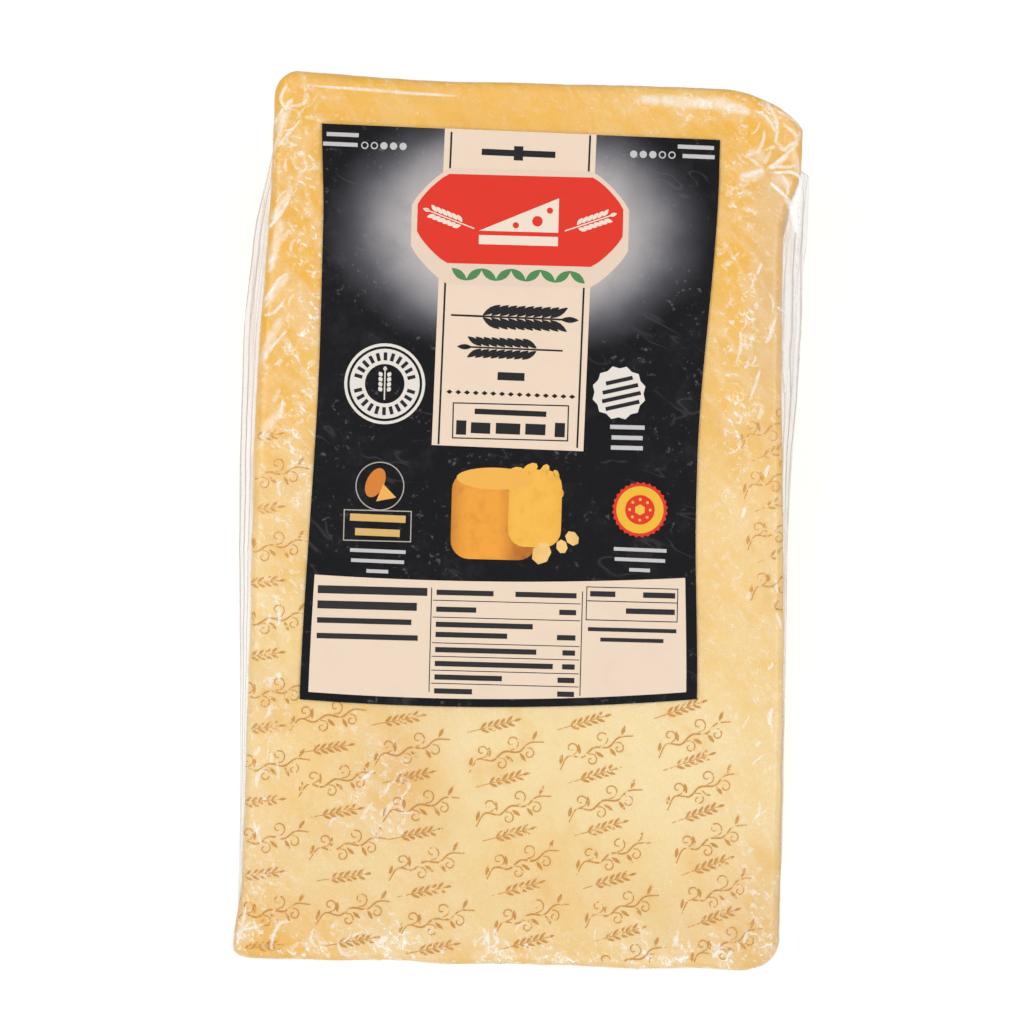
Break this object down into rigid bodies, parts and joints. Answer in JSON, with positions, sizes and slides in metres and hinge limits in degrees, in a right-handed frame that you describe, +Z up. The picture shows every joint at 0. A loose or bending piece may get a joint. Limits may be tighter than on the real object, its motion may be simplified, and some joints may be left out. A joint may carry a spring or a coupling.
{
  "type": "vacuum-packed cheese wedge",
  "caption": "Wedge of hard grating cheese sealed in a clear vacuum bag, with a dark paper label on its upper cut face.",
  "frame": {"origin": "on the surface that the pack lies on, under the middle of its bounding box", "axes": "+Y from the wedge's thin end toward its rind, +X toward the wheel's flat side, +Z up; the labelled cut face slopes up toward +Y by 18 degrees"},
  "size_m": [0.1354, 0.2116, 0.0682],
  "materials": {
    "cheese": "satin",
    "film": "gloss",
    "film_print": "satin",
    "label_paper": "satin",
    "label_print": "satin"
  },
  "bodies": {
    "root": {"sealed_pack": "cheese", "label": "label_paper"}
  },
  "joints": []
}
